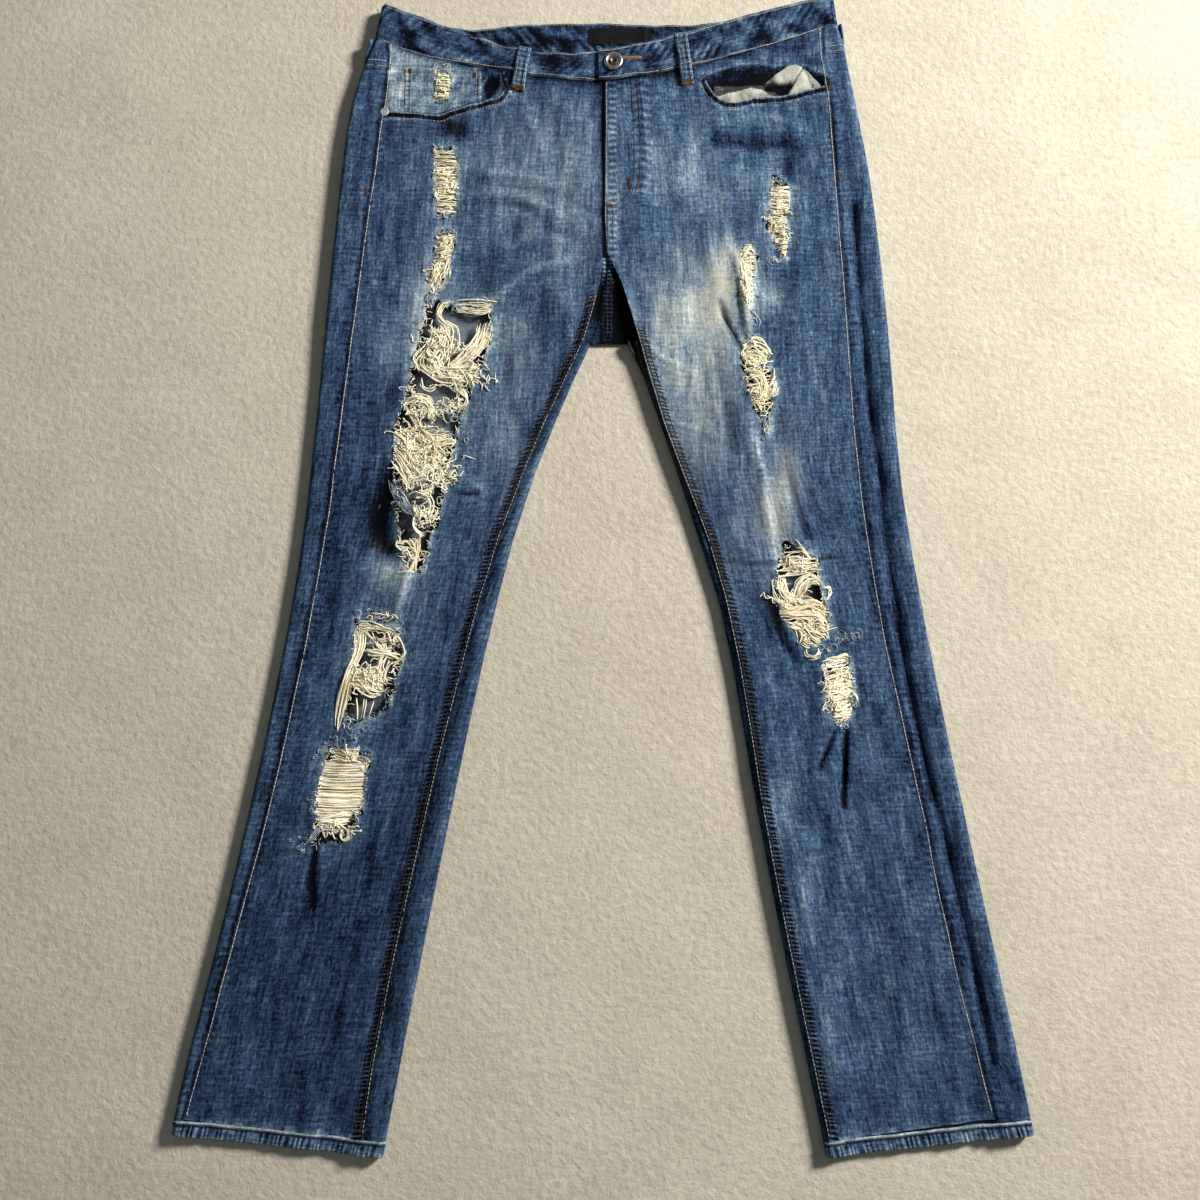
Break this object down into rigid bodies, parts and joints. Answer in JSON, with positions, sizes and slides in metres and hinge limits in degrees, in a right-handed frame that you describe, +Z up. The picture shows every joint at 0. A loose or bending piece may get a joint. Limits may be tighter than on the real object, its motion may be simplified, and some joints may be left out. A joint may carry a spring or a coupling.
{
  "type": "ripped jeans laid flat",
  "caption": "Faded blue ripped jeans lying flat, front up, with button waistband, fly, pockets, belt loops and frayed tears down both thighs and knees.",
  "frame": {"origin": "on the surface the jeans lie on, under the middle of their bounding box", "axes": "+Y from the hems to the waistband, +X towards the wearer's left leg, +Z up out of the front"},
  "size_m": [0.6838, 0.9941, 0.0136],
  "materials": {
    "denim": "stone-washed indigo twill with whiskers, fades and bleached seams",
    "denim_faded": "heavily faded indigo twill",
    "zip_tape": "plain navy tape and shield, closed",
    "pocketing": "plain white cotton pocketing",
    "label_black": "black satin ribbon, bare",
    "button_metal": "antique silver rim",
    "button_centre": "darkened recess with a bright pin",
    "rivet_metal": "silver pocket rivet"
  },
  "bodies": {
    "root": {"front_panel_right": "denim", "front_panel_left": "denim", "back_panel_right": "denim", "back_panel_left": "denim", "back_yoke_right": "denim", "back_yoke_left": "denim", "waistband": "denim", "hem_right": "denim", "hem_left": "denim", "pocket_facing_left": "denim", "back_pocket_right": "denim", "back_pocket_left": "denim", "belt_loop_back_right": "denim", "belt_loop_back_centre": "denim", "belt_loop_back_left": "denim", "pocket_facing_right": "denim_faded", "coin_pocket": "denim_faded", "belt_loop_front_right": "denim_faded", "belt_loop_front_left": "denim_faded", "fly_zip": "zip_tape", "pocket_bag_left": "pocketing", "pocket_bag_right": "pocketing", "button": "button_metal", "button_centre": "button_centre", "rivet": "rivet_metal", "waist_label": "label_black", "size_tab": "label_black"}
  },
  "joints": []
}
